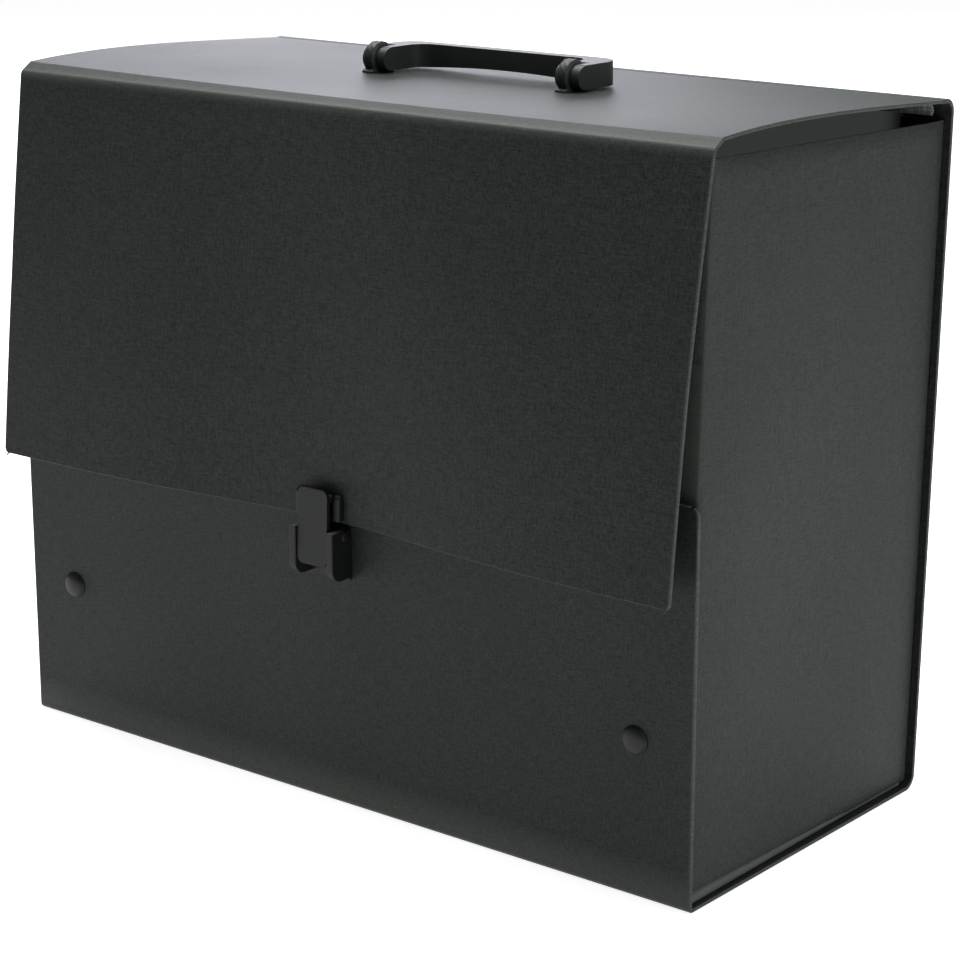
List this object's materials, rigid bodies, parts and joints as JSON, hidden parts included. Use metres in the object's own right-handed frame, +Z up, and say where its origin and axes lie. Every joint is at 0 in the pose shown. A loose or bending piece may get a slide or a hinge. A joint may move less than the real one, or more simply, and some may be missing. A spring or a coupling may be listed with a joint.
{
  "type": "document carrying case",
  "caption": "Upright folded-board document case with a throw-back lid, a long front flap, a snap hasp in a keeper bracket and a bail carrying handle lying on the lid.",
  "frame": {"origin": "on the floor under the middle of the case, halfway between the front panel and the foot of the back panel", "axes": "+X along the long side to the right seen from the front, +Y from the front panel to the back panel, +Z up"},
  "size_m": [0.38, 0.2023, 0.3205],
  "materials": {
    "board": "stiff pressed fibreboard with an embossed linen grain, near-black green-grey, matt with a faint sheen",
    "tape": "woven cloth reinforcing tape, dark grey",
    "black_plastic": "moulded black plastic, satin gloss",
    "rivet_plastic": "black plastic rivet, satin",
    "steel": "plain steel pins, rivets and backing plates"
  },
  "bodies": {
    "case": {"outer_wrap": "board", "left_side_panel": "board", "right_side_panel": "board", "hinge_liner": "tape", "front_rivet_caps": "rivet_plastic", "front_rivet_sockets": "rivet_plastic", "back_rivet_caps": "rivet_plastic", "back_rivet_sockets": "rivet_plastic", "latch_keeper": "black_plastic", "keeper_pin": "steel", "keeper_rivets": "steel", "keeper_backing_plate": "steel"},
    "lid_top": {"lid_top_panel": "board", "handle_lug_left": "black_plastic", "handle_lug_right": "black_plastic", "handle_backing_plate": "steel"},
    "carry_handle": {"handle": "black_plastic", "handle_pins": "steel"},
    "front_flap": {"front_flap_panel": "board", "hasp_base": "black_plastic", "hasp_base_rivets": "steel", "hasp_backing_plate": "steel", "hasp_pin": "steel"},
    "snap_hasp": {"hasp": "black_plastic"}
  },
  "joints": [
    {"name": "lid_hinge", "type": "hinge", "parent": "case", "child": "lid_top", "pos_m": [0, 0.0927, 0.304], "axis": [-1, 0, 0], "range_deg": [0, 165]},
    {"name": "flap_hinge", "type": "hinge", "parent": "lid_top", "child": "front_flap", "pos_m": [0, -0.0826, 0.3052], "axis": [-1, 0, 0], "range_deg": [0, 120]},
    {"name": "handle_hinge", "type": "hinge", "parent": "lid_top", "child": "carry_handle", "pos_m": [0, 0.009, 0.313], "axis": [1, 0, 0], "range_deg": [0, 170]},
    {"name": "hasp_hinge", "type": "hinge", "parent": "front_flap", "child": "snap_hasp", "pos_m": [0, -0.09423, 0.14127], "axis": [-1, 0, 0], "range_deg": [0, 60]}
  ]
}
